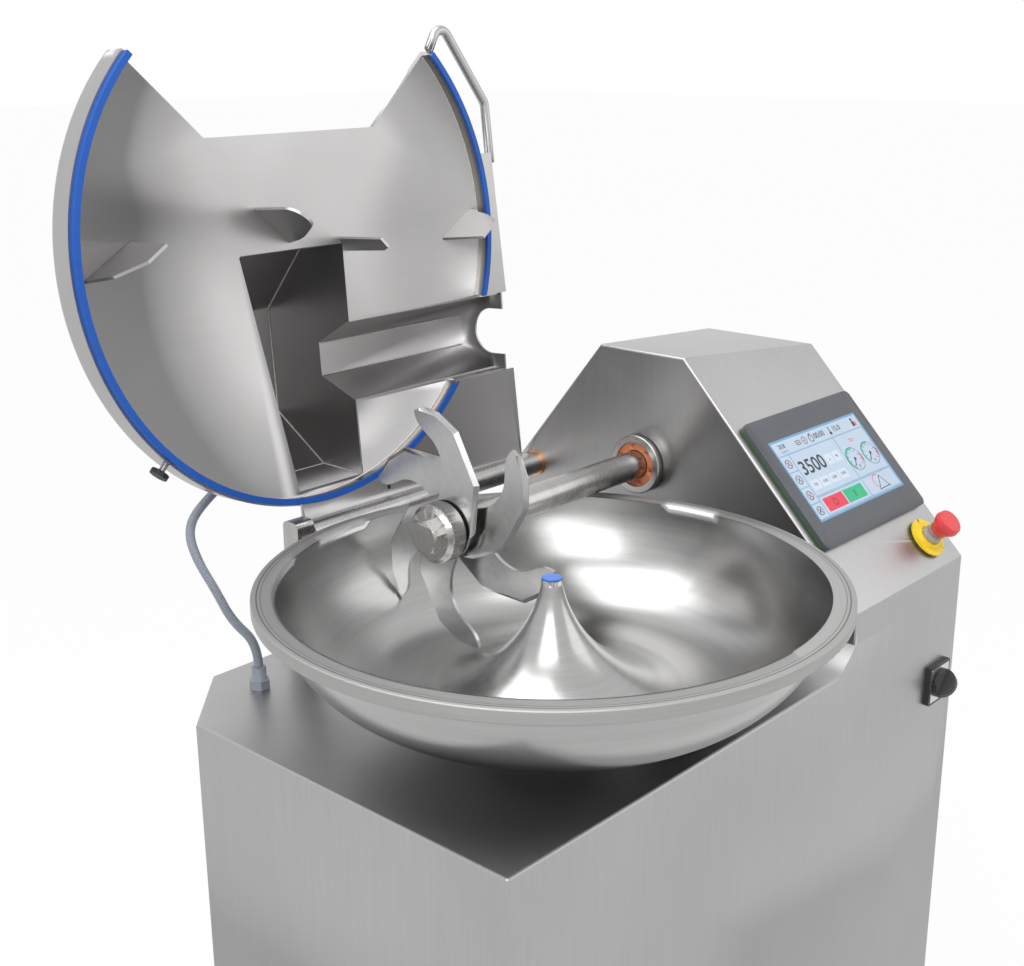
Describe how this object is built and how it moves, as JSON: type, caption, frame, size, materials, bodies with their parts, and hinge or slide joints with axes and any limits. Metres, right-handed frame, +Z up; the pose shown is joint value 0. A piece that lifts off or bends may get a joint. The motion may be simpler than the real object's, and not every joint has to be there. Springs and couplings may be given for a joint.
{
  "type": "meat bowl cutter",
  "caption": "Floor-standing bowl cutter: turning bowl on a steel cabinet, sickle knives on a horizontal shaft, hinged lid with knife hood, and a touch panel on the sloping drive housing.",
  "frame": {"origin": "on the floor, at the middle of the cabinet's rectangular footprint", "axes": "+Z up, +X from the bowl towards the drive housing, +Y from the operator's side to the back"},
  "size_m": [1.0545, 0.9651, 1.5325],
  "materials": {
    "cabinet_steel": "vertical brushed grain, satin",
    "lid_steel": "satin ground sheet with polished welds",
    "bowl_steel": "turned and polished",
    "turned_steel": "turned bright",
    "blade_steel": "ground flat, polished edge",
    "bearing_steel": "ground",
    "bronze": "machined bronze",
    "frame_steel": "grey primer",
    "motor_paint": "satin machine paint",
    "pulley_iron": "phosphated",
    "seal_orange": "moulded seal",
    "gasket_blue": "food grade silicone",
    "cap_blue": "moulded",
    "rubber_black": "matt",
    "conduit_grey": "corrugated flexible conduit",
    "panel_grey": "dark grey bezel",
    "screen_glass": "lit display",
    "panel_green": "foam seal",
    "stop_yellow": "moulded",
    "stop_red": "moulded",
    "stop_grey": "moulded",
    "switch_black": "moulded",
    "switch_silver": "satin plate"
  },
  "bodies": {
    "cabinet": {"cabinet_shell": "cabinet_steel", "housing_shell": "cabinet_steel", "base_frame": "frame_steel", "rear_panel": "cabinet_steel", "rear_panel_screws": "turned_steel", "levelling_feet": "turned_steel", "hinge_post": "turned_steel", "hinge_bushes": "bronze", "shaft_flange": "turned_steel", "shaft_seal": "seal_orange", "bearing_housing": "frame_steel", "shaft_bearings": "bearing_steel", "knife_motor": "motor_paint", "drive_belt": "rubber_black", "spindle_housing": "turned_steel", "spindle_bearings": "bearing_steel", "bowl_gear_motor": "motor_paint", "lid_conduit": "conduit_grey", "conduit_gland_deck": "conduit_grey", "hmi_housing": "panel_grey", "hmi_screen": "screen_glass", "hmi_gasket": "panel_green", "estop_collar": "stop_grey", "estop_plate": "stop_yellow", "switch_plate": "switch_silver", "switch_body": "switch_black", "mains_gland": "turned_steel", "lid_stop_bracket": "frame_steel"},
    "knife_head": {"knife_shaft": "turned_steel", "shaft_pulley": "pulley_iron", "clamp_collar": "turned_steel", "shaft_nut": "turned_steel", "knife_spacers": "turned_steel", "knife_1": "blade_steel", "knife_2": "blade_steel", "knife_3": "blade_steel", "knife_4": "blade_steel", "knife_5": "blade_steel", "knife_6": "blade_steel"},
    "rotor": {"motor_rotor": "turned_steel", "motor_pulley": "pulley_iron"},
    "bowl_unit": {"bowl": "bowl_steel", "bowl_cap": "cap_blue", "bowl_spindle": "turned_steel"},
    "stop_plunger": {"estop_plunger": "stop_grey"},
    "stop_head": {"estop_head": "stop_red"},
    "main_switch": {"switch_knob": "switch_black"},
    "lid": {"hinge_tube": "turned_steel", "lid_backing_plate": "lid_steel", "lid_dish": "lid_steel", "lid_outer_shell": "lid_steel", "knife_hood": "lid_steel", "shaft_trough": "lid_steel", "deflector_fins": "lid_steel", "lid_gasket": "gasket_blue", "lid_handle": "lid_steel", "buffer_stems": "lid_steel", "buffer_pads": "rubber_black", "lid_stop_arm": "turned_steel", "conduit_gland_lid": "conduit_grey"}
  },
  "joints": [
    {"name": "motor_spin", "type": "hinge", "parent": "cabinet", "child": "rotor", "pos_m": [0.3, 0.019, 0.4], "axis": [1, 0, 0], "continuous": true},
    {"name": "knife_spin", "type": "hinge", "parent": "cabinet", "child": "knife_head", "pos_m": [0, 0.047, 0.928], "axis": [1, 0, 0], "continuous": true},
    {"name": "bowl_spin", "type": "hinge", "parent": "cabinet", "child": "bowl_unit", "pos_m": [-0.207, -0.122, 0.8], "axis": [0, 0, 1], "continuous": true},
    {"name": "lid_swing", "type": "hinge", "parent": "cabinet", "child": "lid", "pos_m": [0, 0.255, 0.887], "axis": [1, 0, 0], "range_deg": [0, 94]},
    {"name": "stop_push", "type": "slide", "parent": "cabinet", "child": "stop_plunger", "axis": [0, 0.7201, -0.6939], "range_m": [0, 0.005]},
    {"name": "stop_twist", "type": "hinge", "parent": "stop_plunger", "child": "stop_head", "pos_m": [0.435, -0.27922, 0.81998], "axis": [0, 0.7201, -0.6939], "range_deg": [0, 45], "stiffness_Nm_per_rad": 0.05},
    {"name": "switch_turn", "type": "hinge", "parent": "cabinet", "child": "main_switch", "pos_m": [0.436, -0.311, 0.607], "axis": [0, 1, 0], "range_deg": [0, 90]}
  ],
  "couplings": [
    {"joint": "knife_spin", "follows": "motor_spin", "ratio": 1.4545}
  ]
}
